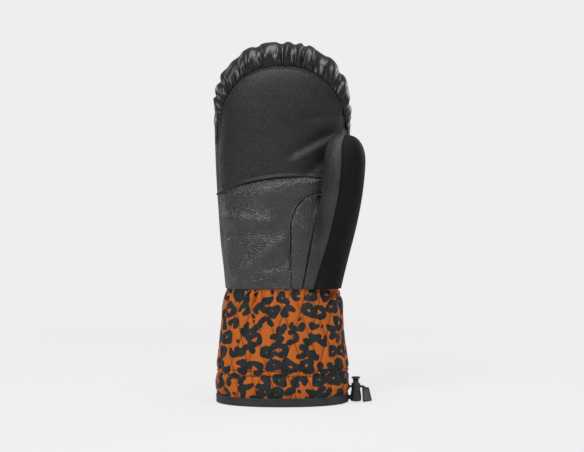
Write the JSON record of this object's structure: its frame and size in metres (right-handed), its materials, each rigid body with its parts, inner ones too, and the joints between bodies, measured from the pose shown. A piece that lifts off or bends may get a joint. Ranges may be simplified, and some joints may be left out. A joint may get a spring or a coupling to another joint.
{
  "type": "ski mitten",
  "caption": "Insulated leather ski mitten with a gathered fingertip rim, a wrapped thumb, a quilted print gauntlet cuff and a drawcord with a cord lock at the hem.",
  "frame": {"origin": "centre of the hand opening, in the plane of the hem that the mitten stands on", "axes": "+X towards the thumb's side, -Y towards the palm's side, +Z from the hem to the fingertips"},
  "size_m": [0.1404, 0.0961, 0.3193],
  "materials": {
    "palm_leather": "fine grained, semi-matt",
    "grip_leather": "fine grained, satin",
    "matte_leather": "smooth, matt",
    "gloss_leather": "smooth, glossy",
    "wadding": "fibre wadding",
    "membrane": "smooth film",
    "pile_lining": "short pile",
    "print_fabric": "quilted print, satin",
    "cuff_lining": "plain woven lining",
    "elastic": "ribbed elastic",
    "binding_tape": "woven tape, satin",
    "cord": "braided elastic cord",
    "black_plastic": "moulded, satin gloss",
    "lid_plastic": "moulded, satin",
    "spring_steel": "plain wire"
  },
  "bodies": {
    "mitten": {"palm_panel": "palm_leather", "palm_patch": "palm_leather", "thumb_gusset": "palm_leather", "thumb_grip_root": "grip_leather", "thumb_side_root": "matte_leather", "finger_back_panel": "gloss_leather", "hand_back_panel": "gloss_leather", "palm_wadding": "wadding", "back_wadding": "wadding", "thumb_wadding_root": "wadding", "membrane_insert": "membrane", "palm_lining": "pile_lining", "back_lining": "pile_lining", "thumb_lining_root": "pile_lining", "cuff_palm_panel": "print_fabric", "cuff_back_panel": "print_fabric", "cuff_palm_wadding": "wadding", "cuff_back_wadding": "wadding", "cuff_lining": "cuff_lining", "wrist_elastic": "elastic", "casing_tape": "binding_tape", "hem_binding": "binding_tape", "drawcord": "cord", "cord_eyelet": "black_plastic"},
    "thumb": {"thumb_grip_tip": "grip_leather", "thumb_side_tip": "matte_leather", "thumb_wadding_tip": "wadding", "thumb_membrane_tip": "membrane", "thumb_lining_tip": "pile_lining"},
    "cord_lock": {"lock_barrel": "black_plastic", "lock_spring": "spring_steel", "lock_tether": "binding_tape"},
    "lock_plunger": {"lock_button": "black_plastic"},
    "cord_free_end": {"cord_tail": "cord"},
    "cord_end": {"cord_end_body": "black_plastic", "cord_end_lid": "lid_plastic"}
  },
  "joints": [
    {"name": "thumb_bend", "type": "hinge", "parent": "mitten", "child": "thumb", "pos_m": [0.0528, -0.0337, 0.187], "axis": [0.7071, -0.7071, 0], "range_deg": [0, 30]},
    {"name": "lock_swing", "type": "hinge", "parent": "mitten", "child": "cord_lock", "pos_m": [0.0595, -0.007, 0.014], "axis": [0, 0, 1], "range_deg": [-30, 30], "deforming": ["lock_tether"]},
    {"name": "button_press", "type": "slide", "parent": "cord_lock", "child": "lock_plunger", "axis": [0, 0, -1], "range_m": [0, 0.0025], "stiffness_N_per_m": 1200, "springref_m": -0.001, "deforming": ["lock_spring"]},
    {"name": "cord_pull", "type": "slide", "parent": "cord_lock", "child": "cord_free_end", "axis": [1, 0, 0], "range_m": [0, 0.025], "deforming": ["cord_tail"]},
    {"name": "cord_end_swing", "type": "hinge", "parent": "cord_free_end", "child": "cord_end", "pos_m": [0.0742, -0.007, 0.0127], "axis": [0, -1, 0], "range_deg": [-3, 90]}
  ]
}
